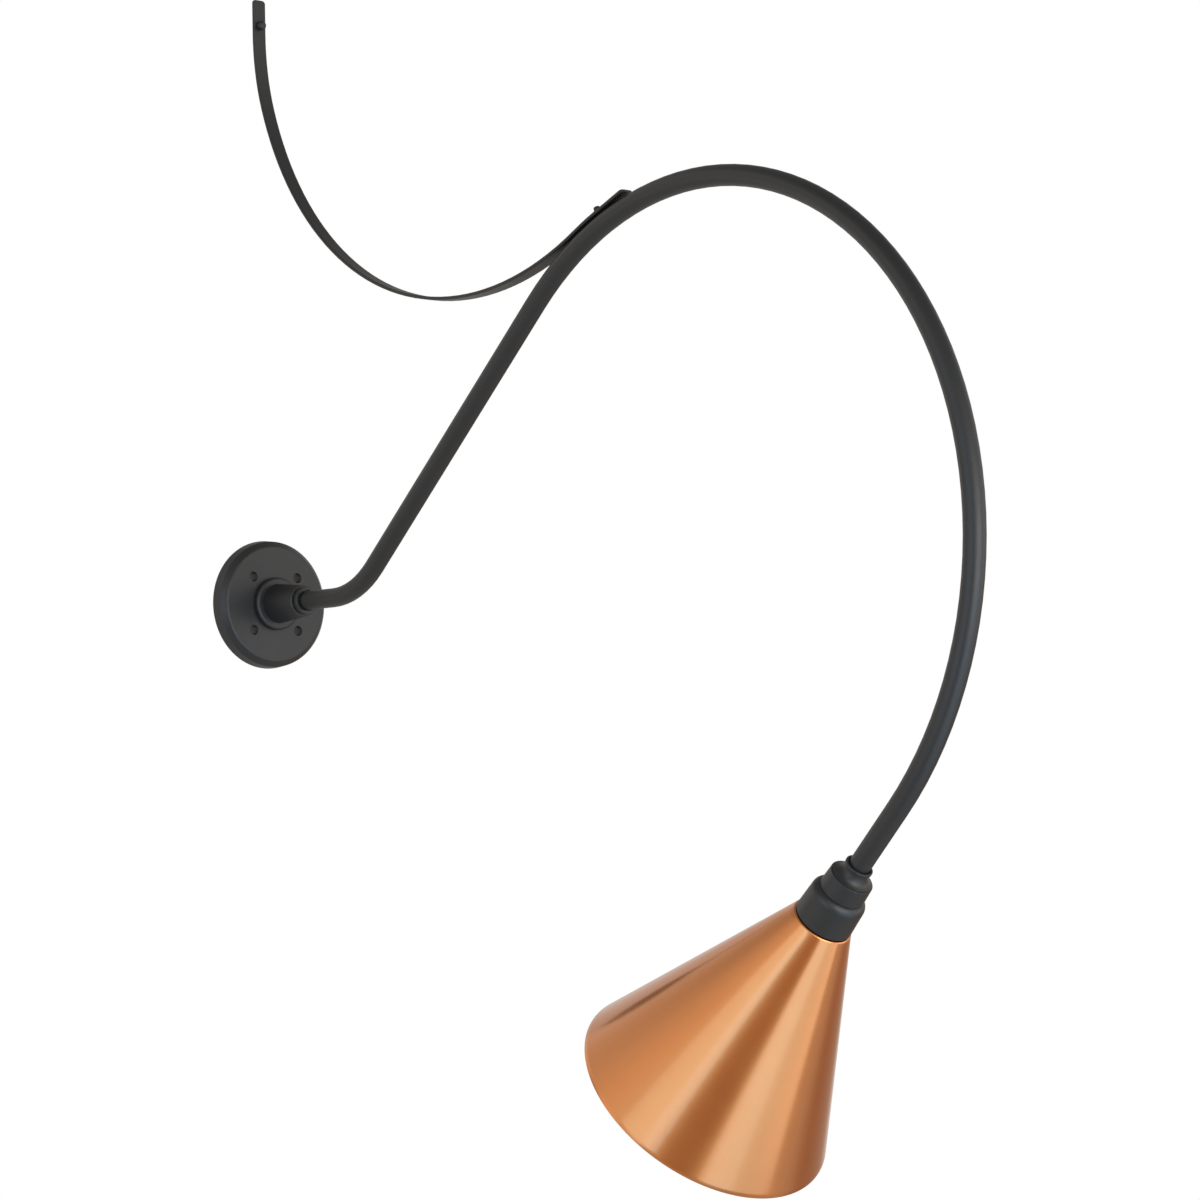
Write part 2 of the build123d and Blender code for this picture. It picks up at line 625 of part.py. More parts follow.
def bulb_base():
    return turned((0, BASE_TOP), (BASE_R, BASE_TOP, BASE_EDGE_R), (BASE_R, BASE_BOTTOM), (0, BASE_BOTTOM))


def bulb_housing():
    """Stem and flare, whose side runs on into the globe without a break."""
    stem_r = BASE_R + STEM_STEP
    flare = HOUSING_RIM - (HOUSING_RIM_R - stem_r) * HOUSING_RIM_R / (GLOBE_CENTRE - HOUSING_RIM)
    return turned(
        (0, BASE_BOTTOM), (stem_r, BASE_BOTTOM, BASE_EDGE_R), (stem_r, flare, HOUSING_BLEND_R),
        (HOUSING_RIM_R, HOUSING_RIM), (0, HOUSING_RIM),
    )


def bulb_globe():
    globe = Pos(0, 0, GLOBE_CENTRE) * (Sphere(BULB_R) - Sphere(BULB_R - GLOBE_WALL))
    return globe - rod(BULB_R, GLOBE_CENTRE - BULB_R, HOUSING_RIM)


NODES = {
    "wall_plate": HUB_FRAME * wall_plate(),
    "plate_gasket": HUB_FRAME * gasket_ring(FIT),
    "ground_screw": HUB_FRAME * ground_screw(),
    "hub": HUB_FRAME * hub(),
    "hub_locknut": HUB_FRAME * hub_locknut(),
    "hub_set_screw": HUB_FRAME * hub_set_screw(),
    "lead_bushing": HUB_FRAME * lead_bushing(),
    "lead_tips": HUB_FRAME * lead_tips(),
    "arm_pipe": arm_pipe(),
    "lead_black": lead(-1),
    "lead_white": lead(1),
    "brace_strap": brace_strap(),
    "brace_cap_nut": CAP_NUT_FRAME * brace_cap_nut(),
    "brace_bolt": BOLT_FRAME * brace_bolt(),
    "pipe_coupling": NECK_FRAME * pipe_coupling(),
    "neck_collar": NECK_FRAME * neck_collar(),
    "neck_set_screw": NECK_FRAME * neck_set_screw(),
    "socket_cup": NECK_FRAME * socket_cup(),
    "nipple": NECK_FRAME * nipple(),
    "nipple_locknut": NECK_FRAME * nipple_locknut(),
    "holder_bracket": NECK_FRAME * holder_bracket(),
    "holder_screws": NECK_FRAME * holder_screws(),
    "lamp_holder": NECK_FRAME * lamp_holder(),
    "screw_shell": NECK_FRAME * screw_shell(),
    "centre_contact": NECK_FRAME * centre_contact(),
    "shade_gasket": NECK_FRAME * shade_gasket(),
    "shade": NECK_FRAME * shade(),
    "shade_ring": NECK_FRAME * shade_ring(),
    "bulb_contact": NECK_FRAME * bulb_contact(),
    "bulb_insulator": NECK_FRAME * bulb_insulator(),
    "bulb_base": NECK_FRAME * bulb_base(),
    "bulb_housing": NECK_FRAME * bulb_housing(),
    "bulb_globe": NECK_FRAME * bulb_globe(),
}

os.makedirs("parts", exist_ok=True)
for name, shape in NODES.items():
    export_step(shape, f"parts/{name}.step")
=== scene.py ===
# %% [markdown]
# # A gooseneck barn light
# The light hangs from a wall on a round plate. A bent pipe carries a stepped neck and a spun copper
# cone, and a flat brace steadies the pipe. The CAD frame already holds every rigid piece at its
# real size and place, so this script adds what a solid model lacks: finishes, rolled threads,
# stranded wire, the stage and the camera.

import json
import math

import bmesh
import bpy
from mathutils import Matrix, Vector


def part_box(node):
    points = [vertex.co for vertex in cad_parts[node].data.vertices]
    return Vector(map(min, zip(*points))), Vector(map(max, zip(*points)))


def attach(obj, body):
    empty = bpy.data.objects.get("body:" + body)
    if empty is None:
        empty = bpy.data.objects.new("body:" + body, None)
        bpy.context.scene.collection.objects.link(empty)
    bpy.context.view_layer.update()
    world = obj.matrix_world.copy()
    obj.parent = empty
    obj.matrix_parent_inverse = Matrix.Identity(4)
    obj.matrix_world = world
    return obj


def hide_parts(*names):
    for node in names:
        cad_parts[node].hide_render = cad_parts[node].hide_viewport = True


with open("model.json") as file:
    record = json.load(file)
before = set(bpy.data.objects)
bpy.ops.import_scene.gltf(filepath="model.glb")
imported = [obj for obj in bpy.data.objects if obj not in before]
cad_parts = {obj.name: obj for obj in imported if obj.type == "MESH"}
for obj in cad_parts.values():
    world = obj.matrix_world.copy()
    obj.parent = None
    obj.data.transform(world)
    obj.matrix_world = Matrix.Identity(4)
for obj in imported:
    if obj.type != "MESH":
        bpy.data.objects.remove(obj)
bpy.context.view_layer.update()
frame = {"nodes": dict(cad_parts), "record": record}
nodes = frame["nodes"]
MM = 0.001
print("pieces in the frame:", len(nodes))

# %% [markdown]
# ## The camera
# A photograph fixes the viewpoint: the camera stands in front and to the left of the arm, a little
# below the middle of the light, with a long lens that keeps the perspective mild. A camera's own
# axes are its right, its up and the way back to the viewer, and they are the three columns of its
# matrix.

# %% Camera
CAMERA_PLACE = Vector((3.02077, -2.08956, -0.23405))
CAMERA_RIGHT = Vector((0.650137, 0.759529, -0.020900))
CAMERA_UP = Vector((0.061651, -0.025315, 0.997777))
LENS = 96
SENSOR = 36

camera_data = bpy.data.cameras.new("photo_camera")
camera_data.lens = LENS
camera_data.sensor_width = SENSOR
camera = bpy.data.objects.new("photo_camera", camera_data)
bpy.context.scene.collection.objects.link(camera)
axes = Matrix((CAMERA_RIGHT, CAMERA_UP, CAMERA_RIGHT.cross(CAMERA_UP))).transposed()
camera.matrix_world = Matrix.Translation(CAMERA_PLACE) @ axes.to_4x4()
bpy.context.scene.camera = camera
bpy.context.scene.view_settings.view_transform = "Standard"
print("camera stands", round(CAMERA_PLACE.length, 2), "m from the plate")

# %% [markdown]
# ## Formulas instead of wires
# Every finish below is a node tree. Wiring one by hand takes four lines for each sum, so a small
# class wraps a socket and lets Python's operators add the Math nodes.

# %% Values in a formula
class Value:
    """A node's output that can stand in a formula."""

    def __init__(self, graph, socket):
        self.graph, self.socket = graph, socket

    def math(self, operation, *others):
        return self.graph.node("ShaderNodeMath", {"operation": operation}, (self, *others))

    def __add__(self, other):
        return self.math("ADD", other)

    __radd__ = __add__

    def __mul__(self, other):
        return self.math("MULTIPLY", other)

    def __sub__(self, other):
        return self.math("SUBTRACT", other)

    def __rsub__(self, other):
        return self.graph.node("ShaderNodeMath", {"operation": "SUBTRACT"}, (other, self))

    def __truediv__(self, other):
        return self.math("DIVIDE", other)


# %% [markdown]
# ### One method for all nodes
# All other nodes come from one method, which sets a node's settings first, because some of them
# decide which sockets it has. The nodes that are used most have a short method of their own.

# %% Node trees
# Sockets of the Mix node when it blends colours
MIX_SHARE, MIX_FIRST, MIX_SECOND, MIX_RESULT = 0, 6, 7, 2


class Graph:
    """A node tree of a finish, of the room's light or of a shape."""

    def __init__(self, tree):
        self.tree = tree

    def node(self, kind, settings=None, sockets=(), output=0):
        made = self.tree.nodes.new(kind)
        for name, setting in (settings or {}).items():
            if name == "stops":
                fill_ramp(made.color_ramp, setting)
            else:
                setattr(made, name, setting)
        given = sockets.items() if isinstance(sockets, dict) else enumerate(sockets)
        for key, value in given:
            if isinstance(value, Value):
                self.tree.links.new(value.socket, made.inputs[key])
            else:
                made.inputs[key].default_value = value
        return Value(self, made.outputs[output]) if made.outputs else None

    def smooth(self, value, low, high):
        """0 below low, 1 above high, and a soft step between them."""
        span = {"Value": value, "From Min": low, "From Max": high}
        return self.node("ShaderNodeMapRange", {"interpolation_type": "SMOOTHSTEP"}, span)

    def mix(self, share, first, second, blend="MIX"):
        """Blend two colours."""
        settings = {"data_type": "RGBA", "blend_type": blend}
        colours = {MIX_SHARE: share, MIX_FIRST: opaque(first), MIX_SECOND: opaque(second)}
        return self.node("ShaderNodeMix", settings, colours, MIX_RESULT)

    def noise(self, place, scale, detail=2.0):
        sockets = {"Vector": place, "Scale": scale, "Detail": detail}
        return self.node("ShaderNodeTexNoise", None, sockets)

    def dot(self, place, direction):
        settings = {"operation": "DOT_PRODUCT"}
        return self.node("ShaderNodeVectorMath", settings, (place, direction), "Value")


def opaque(colour):
    return colour if isinstance(colour, Value) else (*colour, 1)


def fill_ramp(ramp, stops):
    """Give a colour ramp its grey stops, as pairs of place and level."""
    while len(ramp.elements) < len(stops):
        ramp.elements.new(1.0)
    for stop, (place, level) in zip(ramp.elements, stops):
        stop.position = place
        stop.color = (level, level, level, 1)


# %% [markdown]
# ## The room
# A product picture is lit by a few large soft boxes in a pale room. To the camera the room is plain
# white. The black coat and the copper mirror the room itself, which is a little warm: dim low down,
# pale at the height of the light, dim again near the ceiling. Soft round patches stand in it, each
# with its two angles, its inner and outer edge in degrees, its share and its colour. Two of brown
# card make the deep bands on the copper, a third keeps the cone's far edge from turning white, and
# one of grey card makes the arm's dark side. A cool cloth hangs behind each of the two cool soft
# boxes, because a mirrored ray goes on behind a lamp and picks up whatever is there.

# %% Room
WHITE = (1, 1, 1)
ROOM_FILL = (0.62, 0.62, 0.62)
ROOM_TINT = (1.0, 0.94, 0.87)
ROOM_LEVELS = ((0.0, 0.48), (0.29, 0.53), (0.43, 0.80), (0.58, 0.88),
               (0.71, 0.74), (0.77, 0.66), (0.83, 0.30), (1.0, 0.24))
UPWARDS = (0, 0, 1)
# Azimuth, elevation, inner edge and outer edge in degrees, then share and colour
ROOM_PATCHES = (
    (-47, -20, 8, 25, 0.66, (0.25, 0.12, 0.03)),
    (98, -18, 8, 36, 0.72, (0.25, 0.10, 0.02)),
    (-77, 4, 12, 26, 0.5, (0.0, 0.25, 0.5)),
    (4, -28, 14, 34, 0.5, (0.0, 0.2, 0.4)),
    (-141, 8, 6, 21, 0.6, (0.2, 0.2, 0.2)),
    (148, 12, 10, 36, 0.38, (0.22, 0.16, 0.14)),
)


def towards(azimuth, elevation):
    """Unit vector to a place in the room, from its angles in degrees."""
    flat = math.cos(math.radians(elevation))
    turn = math.radians(azimuth)
    return Vector((flat * math.cos(turn), flat * math.sin(turn), math.sin(math.radians(elevation))))


world = bpy.data.worlds.new("room")
bpy.context.scene.world = world
world.use_nodes = True
world.node_tree.nodes.clear()
room = Graph(world.node_tree)
rays = room.tree.nodes.new("ShaderNodeLightPath").outputs
is_camera, is_mirror = Value(room, rays["Is Camera Ray"]), Value(room, rays["Is Glossy Ray"])
direction = room.node("ShaderNodeTexCoord", output="Generated")
height = room.dot(direction, UPWARDS) * 0.5 + 0.5
levels = room.node("ShaderNodeValToRGB", {"stops": ROOM_LEVELS}, (height,))
mirrored = room.mix(1.0, levels, ROOM_TINT, "MULTIPLY")
for azimuth, elevation, inner, outer, share, colour in ROOM_PATCHES:
    nearness = room.dot(direction, towards(azimuth, elevation))
    patch = room.smooth(nearness, math.cos(math.radians(outer)), math.cos(math.radians(inner)))
    mirrored = room.mix(patch * share, mirrored, colour)
seen = room.mix(is_camera, room.mix(is_mirror, ROOM_FILL, mirrored), WHITE)
light = room.node("ShaderNodeBackground", None, {"Color": seen, "Strength": 1.0})
room.node("ShaderNodeOutputWorld", None, {"Surface": light})
print("patches in the room:", len(ROOM_PATCHES))

# %% [markdown]
# ### The floor
# Such a light hangs high on a wall, so the floor lies four metres below it. The camera sees it
# plain white like the room. Mirrored rays pass it and meet the room, and for all others it is a
# pale floor that gives light back.

# %% Floor
FLOOR_Z = -4.2
FLOOR_SIZE = 16
PALE_FLOOR = (0.86, 0.86, 0.85)

half = FLOOR_SIZE / 2
corners = ((-half, -half), (half, -half), (half, half), (-half, half))
floor_mesh = bpy.data.meshes.new("floor")
floor_mesh.from_pydata([(x, y, FLOOR_Z) for x, y in corners], [], [(0, 1, 2, 3)])
floor = bpy.data.objects.new("floor", floor_mesh)
bpy.context.scene.collection.objects.link(floor)
floor.visible_glossy = False
floor_paint = bpy.data.materials.new("pale_floor")
floor_paint.use_nodes = True
floor_paint.node_tree.nodes.clear()
paint = Graph(floor_paint.node_tree)
is_camera = Value(paint, paint.tree.nodes.new("ShaderNodeLightPath").outputs["Is Camera Ray"])
pale = paint.node("ShaderNodeBsdfDiffuse", None, {"Color": opaque(PALE_FLOOR)})
white = paint.node("ShaderNodeEmission", None, {"Color": opaque(WHITE), "Strength": 1.0})
paint.node("ShaderNodeOutputMaterial", None, {
    "Surface": paint.node("ShaderNodeMixShader", None, (is_camera, pale, white))})
floor.data.materials.append(floor_paint)
print("floor at", FLOOR_Z, "m")

# %% [markdown]
# ## Soft boxes
# A cone mirrors a narrow fan of directions, so each soft box shows on it as one band from top to
# mouth. The strip on the left and the low box in front make the two bright bands, and the gap
# between them, where the camera stands, makes the dark one. A colder, narrower box hangs just
# before each of the two, on the side next to the gap, because a band on the copper is brightest
# there. Two smaller boxes on the right draw the bright lines along the black arm and neck. Each
# lamp is placed by the direction in which the cone sees it. Its power is worked out from its area,
# so that its face has the brightness that is given.

# %% Lamps
CONE_MIDDLE = Vector((0.82, 0.0, -0.42))
COOL = (0.82, 1.0, 1.16)
COLD = (0.4, 1.0, 1.9)
# Name, azimuth and elevation in degrees, distance, width and height in metres, brightness, colour
SOFT_BOXES = (
    ("left_strip", -79, 4, 2.6, 1.3, 1.9, 0.70, COOL),
    ("left_core", -70.5, 4, 2.55, 0.45, 1.9, 0.48, COLD),
    ("low_front", 6, -26, 1.9, 2.3, 1.6, 0.78, COOL),
    ("low_core", -13, -26, 1.85, 0.8, 1.6, 0.34, COLD),
    ("right_front", -4, 8, 2.2, 1.7, 1.1, 2.8, WHITE),
    ("right_wall", 50, 8, 2.6, 1.3, 1.2, 0.75, WHITE),
)


def soft_box(name, azimuth, elevation, distance, width, height, brightness, colour):
    lamp = bpy.data.lights.new(name, "AREA")
    lamp.shape = "RECTANGLE"
    lamp.size, lamp.size_y = width, height
    lamp.color = colour
    lamp.energy = brightness * math.pi * width * height
    away = towards(azimuth, elevation)
    holder = bpy.data.objects.new(name, lamp)
    bpy.context.scene.collection.objects.link(holder)
    facing = away.to_track_quat("Z", "Y").to_matrix().to_4x4()
    holder.matrix_world = Matrix.Translation(CONE_MIDDLE + away * distance) @ facing
    holder.visible_camera = False
    print(name, "is", round(lamp.energy, 1), "W")


for box in SOFT_BOXES:
    soft_box(*box)

# %% [markdown]
# ## Finishes
# A finish is one Principled shader. What changes over the surface comes from a formula, and what
# doesn't is set on the shader itself. The patterns read the object's own coordinates, in metres, so
# a scale of 900 means features of about a millimetre.

# %% Start of a finish
def new_finish(name):
    material = bpy.data.materials.new(name)
    material.use_nodes = True
    material.node_tree.nodes.clear()
    graph = Graph(material.node_tree)
    place = graph.node("ShaderNodeTexCoord", output="Object")
    return material, graph, place


def close_finish(graph, sockets):
    shader = graph.node("ShaderNodeBsdfPrincipled", None, sockets)
    graph.node("ShaderNodeOutputMaterial", None, {"Surface": shader})


def bumped(graph, height, depth):
    sockets = {"Strength": 1.0, "Distance": depth, "Height": height}
    return graph.node("ShaderNodeBump", None, sockets)


# %% [markdown]
# ### Black powder coat
# Powder is baked on and flows together before it sets, which leaves a satin skin with a faint
# orange peel. Two noises make it: a broad one for the peel and a fine one for the grain of the
# powder. A third, far broader, lets the gloss change a little from place to place.

# %% Powder coat
COAT_DARK, COAT_PALE = (0.0120, 0.0126, 0.0138), (0.0160, 0.0167, 0.0180)
PEEL_SCALE, POWDER_SCALE, CLOUD_SCALE = 620, 2600, 35
COAT_ROUGHNESS, COAT_IOR, PEEL_DEPTH = 0.36, 1.6, 0.06 * MM


def powder_coat():
    material, graph, place = new_finish("black_powder_coat")
    peel = graph.noise(place, PEEL_SCALE)
    grain = graph.noise(place, POWDER_SCALE, 1.0)
    cloud = graph.noise(place, CLOUD_SCALE, 3.0)
    close_finish(graph, {
        "Base Color": graph.mix(graph.smooth(grain, 0.3, 0.75), COAT_DARK, COAT_PALE),
        "Roughness": COAT_ROUGHNESS + cloud * 0.08 + grain * 0.06,
        "IOR": COAT_IOR,
        "Normal": bumped(graph, peel * 0.7 + grain * 0.3, PEEL_DEPTH),
    })
    return material


# %% [markdown]
# ### Spun copper
# The cone is pressed over a turning form, so its surface carries fine rings about its own axis.
# They follow from one number, the distance along that axis. The rings tilt the surface up and down
# the cone but not sideways, and that is why spun metal keeps clear bands from top to mouth. Broader
# bands and a cloud shift the tone a little, and a thin lacquer lies over it all.

# %% Copper
NECK_AXIS = Vector((-0.700287, 0, -0.713862)).normalized()
COPPER, COPPER_DEEP = (0.830, 0.312, 0.092), (0.800, 0.288, 0.080)
RING_SCALE, BAND_SCALE, STAIN_SCALE = 1800, 70, 14
COPPER_ROUGHNESS, LACQUER_ROUGHNESS, RING_DEPTH = 0.20, 0.10, 0.006 * MM


def spun_copper():
    material, graph, place = new_finish("spun_copper")
    along = graph.dot(place, NECK_AXIS)
    line = {"noise_dimensions": "1D"}
    ring_sockets = {"W": along, "Scale": RING_SCALE, "Detail": 3.0}
    band_sockets = {"W": along, "Scale": BAND_SCALE, "Detail": 2.0}
    rings = graph.node("ShaderNodeTexNoise", line, ring_sockets)
    bands = graph.node("ShaderNodeTexNoise", line, band_sockets)
    cloud = graph.noise(place, STAIN_SCALE, 3.0)
    tone = graph.smooth(rings * 0.35 + bands * 0.15 + cloud * 0.5, 0.3, 0.7)
    close_finish(graph, {
        "Base Color": graph.mix(tone, COPPER_DEEP, COPPER),
        "Metallic": 1.0,
        "Roughness": COPPER_ROUGHNESS + rings * 0.04 + cloud * 0.04,
        "Coat Weight": 1.0,
        "Coat Roughness": LACQUER_ROUGHNESS,
        "Normal": bumped(graph, rings, RING_DEPTH),
    })
    return material


# %% [markdown]
# ### Plated and bare metals
# Zinc, brass, nickel, solder and wire differ in colour and polish, and all show a faint cloudiness
# where the plating or the drawing of the metal varies. One function makes them, with the numbers
# that tell them apart.

# %% Small metals
def metal(name, pale, deep, roughness, scale, depth):
    material, graph, place = new_finish(name)
    cloud = graph.noise(place, scale, 3.0)
    grain = graph.noise(place, scale * 9, 2.0)
    close_finish(graph, {
        "Base Color": graph.mix(graph.smooth(cloud, 0.3, 0.7), deep, pale),
        "Metallic": 1.0,
        "Roughness": roughness + cloud * 0.1 + grain * 0.05,
        "Normal": bumped(graph, grain, depth),
    })
    return material


# %% [markdown]
# ### Rubber, plastic, porcelain and opal
# These are coloured through and through. A speckle shifts the colour, a fine noise roughens the
# skin, and the glazed porcelain gets a clear coat.

# %% Non-metals
def moulded(name, pale, deep, roughness, scale, depth, glaze=0.0):
    material, graph, place = new_finish(name)
    speckle = graph.noise(place, scale, 2.0)
    skin = graph.noise(place, scale * 4, 2.0)
    close_finish(graph, {
        "Base Color": graph.mix(graph.smooth(speckle, 0.35, 0.7), deep, pale),
        "Roughness": roughness + skin * 0.08,
        "Coat Weight": glaze,
        "Normal": bumped(graph, skin, depth),
    })
    return material


# %% [markdown]
# ### One finish for each slot
# The record names a slot for every piece, so a table from slot to finish covers them all in one
# loop. Colours are written as they look in plain light, in linear values.

# %% Finishes by slot
FINE = 0.01 * MM
# Slot: finish, pale and deep colour, roughness, scale and depth of the grain
METALS = {
    "zinc": ("zinc_plate", (0.66, 0.67, 0.66), (0.56, 0.57, 0.57), 0.28, 300, FINE),
    "brass": ("brass", (0.83, 0.64, 0.32), (0.74, 0.53, 0.24), 0.20, 200, FINE),
    "nickel": ("nickel_plate", (0.74, 0.72, 0.68), (0.66, 0.64, 0.60), 0.16, 250, FINE),
    "solder": ("solder", (0.66, 0.66, 0.66), (0.52, 0.52, 0.53), 0.30, 400, 0.04 * MM),
    "bare_copper": ("bare_wire", (0.86, 0.50, 0.32), (0.72, 0.36, 0.20), 0.25, 500, FINE),
    "green_screw": ("green_plate", (0.10, 0.42, 0.16), (0.06, 0.30, 0.10), 0.30, 300, FINE),
}
# The same for what is moulded, and a share of glaze at the end where there is one
MOULDINGS = {
    "gasket": (
        "gasket_rubber", (0.030, 0.030, 0.031), (0.018, 0.018, 0.019), 0.70, 900, 0.03 * MM),
    "bushing": ("bushing_nylon", (0.045, 0.045, 0.047), (0.030, 0.030, 0.032), 0.45, 500, FINE),
    "black_insulation": (
        "black_insulation", (0.026, 0.026, 0.028), (0.016, 0.016, 0.018), 0.34, 700, FINE),
    "white_insulation": (
        "white_insulation", (0.82, 0.82, 0.80), (0.74, 0.74, 0.72), 0.34, 700, FINE),
    "porcelain": ("porcelain", (0.86, 0.85, 0.81), (0.80, 0.79, 0.74), 0.20, 260, FINE, 0.8),
    "bulb_white": ("bulb_white", (0.86, 0.86, 0.85), (0.80, 0.80, 0.79), 0.38, 350, FINE),
    "opal": ("opal", (0.91, 0.90, 0.86), (0.87, 0.86, 0.82), 0.30, 60, FINE),
}
finishes = {"black_coat": powder_coat(), "copper": spun_copper()}
finishes.update({slot: metal(*values) for slot, values in METALS.items()})
finishes.update({slot: moulded(*values) for slot, values in MOULDINGS.items()})
slot_of = {part["node"]: part["material_slot"] for part in frame["record"]["subparts"]}
for name, piece in nodes.items():
    piece.data.materials.clear()
    piece.data.materials.append(finishes[slot_of[name]])
print("finishes:", len(finishes), "on", len(slot_of), "pieces")

# %% [markdown]
# ## Shapes from rules
# Some pieces follow a rule that a formula says better than a drawing: a spun cone, a rolled thread,
# twisted strands. Geometry Nodes make them. The neck's pieces are made upright at the origin and
# then moved into the neck's frame, whose Z runs down through the shade.

# %% The neck's frame
NECK = Vector((0.9433473, 0, -0.2959009))
NECK_SIDE = Vector((0, 1, 0))
NECK_TURN = Matrix((NECK_SIDE, NECK_AXIS.cross(NECK_SIDE), NECK_AXIS)).transposed().to_4x4()
NECK_FRAME = Matrix.Translation(NECK) @ NECK_TURN
print("the neck starts", round(NECK.x, 3), "m out of the wall")

# %% [markdown]
# ### Trees with named sizes
# Each tree has sizes with names. The tables below give them in millimetres, and they become metres
# where the tree is put on a piece. What the tree makes is kept as a plain mesh.

# %% Shape trees
SHARP_ANGLE = math.radians(35)


def shape_tree(name, sizes):
    """An empty tree with named sizes, and those sizes as values."""
    tree = bpy.data.node_groups.new(name, "GeometryNodeTree")
    tree.interface.new_socket("Geometry", in_out="OUTPUT", socket_type="NodeSocketGeometry")
    for size in sizes:
        tree.interface.new_socket(size, in_out="INPUT", socket_type="NodeSocketFloat")
    graph = Graph(tree)
    given = tree.nodes.new("NodeGroupInput").outputs
    return graph, [Value(graph, given[size]) for size in sizes]


def end_tree(graph, geometry, finish):
    smooth = graph.node("GeometryNodeSetShadeSmooth", None, {"Geometry": geometry})
    real = graph.node("GeometryNodeRealizeInstances", None, (smooth,))
    painted = graph.node("GeometryNodeSetMaterial", None, {"Geometry": real, "Material": finish})
    graph.node("NodeGroupOutput", None, (painted,))
    return graph.tree


def new_piece(name, mesh):
    piece = bpy.data.objects.new(name, mesh)
    bpy.context.scene.collection.objects.link(piece)
    return piece


def flatten(piece):
    """Keep what the modifiers make as the piece's own mesh."""
    start = piece.data
    ready = piece.evaluated_get(bpy.context.evaluated_depsgraph_get())
    mesh = bpy.data.meshes.new_from_object(ready)
    piece.modifiers.clear()
    piece.data = mesh
    bpy.data.meshes.remove(start)
    mesh.set_sharp_from_angle(angle=SHARP_ANGLE)


def run_tree(piece, tree, sizes):
    """Put a tree on a piece, with its sizes in millimetres set by their sockets' identifiers."""
    maker = piece.modifiers.new("maker", "NODES")
    maker.node_group = tree
    for item in tree.interface.items_tree:
        if item.in_out == "INPUT":
            maker[item.identifier] = sizes[item.name] * MM


def settle(piece, body, slot, *replaced):
    """Let a finished piece ride on a body in place of its CAD node."""
    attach(piece, body)
    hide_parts(*replaced)
    piece.data.calc_loop_triangles()
    print(piece.name, "has", len(piece.data.loop_triangles), "triangles")


# %% [markdown]
# ### A sheet turned about an axis
# Spinning and rolling both give a sheet that is round about one axis. A flat grid becomes such a
# sheet when one of its sides is read as an angle and the other as a place on the profile, so only
# radius and height need a formula. The seam, where the last column meets the first, is welded.

# %% Turned sheet
FULL_TURN = 2 * math.pi
WELD = 0.002 * MM


def sheet_grid(graph, columns, rows):
    """A grid with its angle and its place from 0 to 1 along the profile."""
    counts = {"Size X": FULL_TURN, "Size Y": 1.0, "Vertices X": columns + 1, "Vertices Y": rows}
    grid = graph.node("GeometryNodeMeshGrid", None, counts)
    place = graph.node("GeometryNodeInputPosition")
    angle = graph.node("ShaderNodeSeparateXYZ", None, (place,), "X")
    return grid, angle, graph.node("ShaderNodeSeparateXYZ", None, (place,), "Y") + 0.5


def turn_sheet(graph, grid, angle, radius, height):
    place = graph.node("ShaderNodeCombineXYZ", None,
                       (radius * angle.math("COSINE"), radius * angle.math("SINE"), height))
    turned = graph.node("GeometryNodeSetPosition", None, {"Geometry": grid, "Position": place})
    return graph.node("GeometryNodeMergeByDistance", None, {"Geometry": turned, "Distance": WELD})


# %% [markdown]
# ### The spun cone
# The shade starts as a flat disc that is pressed over a cone. Its profile is a flat ring under the
# gasket, one small bend and a straight side, and the angle turned so far along it gives both radius
# and height. A quarter of the rows goes to the ring and the bend, where the shape changes fast.
# Solidify then gives the sheet its 1.2 mm, and a small bevel breaks the cut edges at the hole and
# the mouth.

# %% Shade
CONE_COLUMNS, CONE_ROWS, TOP_ROWS = 160, 73, 0.25
CONE_SIZES = {"Hole radius": 24.68, "Top radius": 29.63, "Mouth radius": 130.5,
              "Height": 237.0, "Bend radius": 2.2}
SHADE_TOP = 70.8 * MM
SHADE_WALL = 1.2 * MM
CUT_EDGE, CUT_ANGLE = 0.3 * MM, math.radians(60)
BEVEL_STEPS = 2
INWARDS, OUTWARDS = -1.0, 1.0


def cone_tree(finish):
    graph, (hole, top, mouth, height, bend) = shape_tree("spun_cone", CONE_SIZES)
    grid, angle, share = sheet_grid(graph, CONE_COLUMNS, CONE_ROWS)
    slope = graph.node("ShaderNodeMath", {"operation": "ARCTAN2"}, (height, mouth - top))
    setback = bend * (slope * 0.5).math("TANGENT")
    flat = top - setback - hole
    side = (height * height + (mouth - top) * (mouth - top)).math("SQRT") - setback
    along = (share / TOP_ROWS).math("MINIMUM", 1.0) * (flat + bend * slope)
    past = ((share - TOP_ROWS) / (1 - TOP_ROWS)).math("MAXIMUM", 0.0) * side
    turned = ((along - flat) / bend).math("MAXIMUM", 0.0)
    radius = hole + along.math("MINIMUM", flat) + bend * turned.math("SINE")
    radius = radius + past * slope.math("COSINE")
    drop = bend * (1 - turned.math("COSINE")) + past * slope.math("SINE")
    return end_tree(graph, turn_sheet(graph, grid, angle, radius, drop), finish)


def give_wall(piece, thickness, side):
    """Thicken a sheet to its inside or its outside."""
    wall = piece.modifiers.new("wall", "SOLIDIFY")
    wall.thickness, wall.offset = thickness, side


def break_edges(piece, width, angle):
    """Bevel every edge that is sharper than an angle."""
    edge = piece.modifiers.new("edge", "BEVEL")
    edge.width, edge.segments = width, BEVEL_STEPS
    edge.limit_method, edge.angle_limit = "ANGLE", angle


shade = new_piece("spun_shade", bpy.data.meshes.new("disc"))
run_tree(shade, cone_tree(finishes["copper"]), CONE_SIZES)
give_wall(shade, SHADE_WALL, INWARDS)
break_edges(shade, CUT_EDGE, CUT_ANGLE)
flatten(shade)
shade.data.transform(NECK_FRAME @ Matrix.Translation((0, 0, SHADE_TOP)))
settle(shade, "fixture", "copper", "shade")

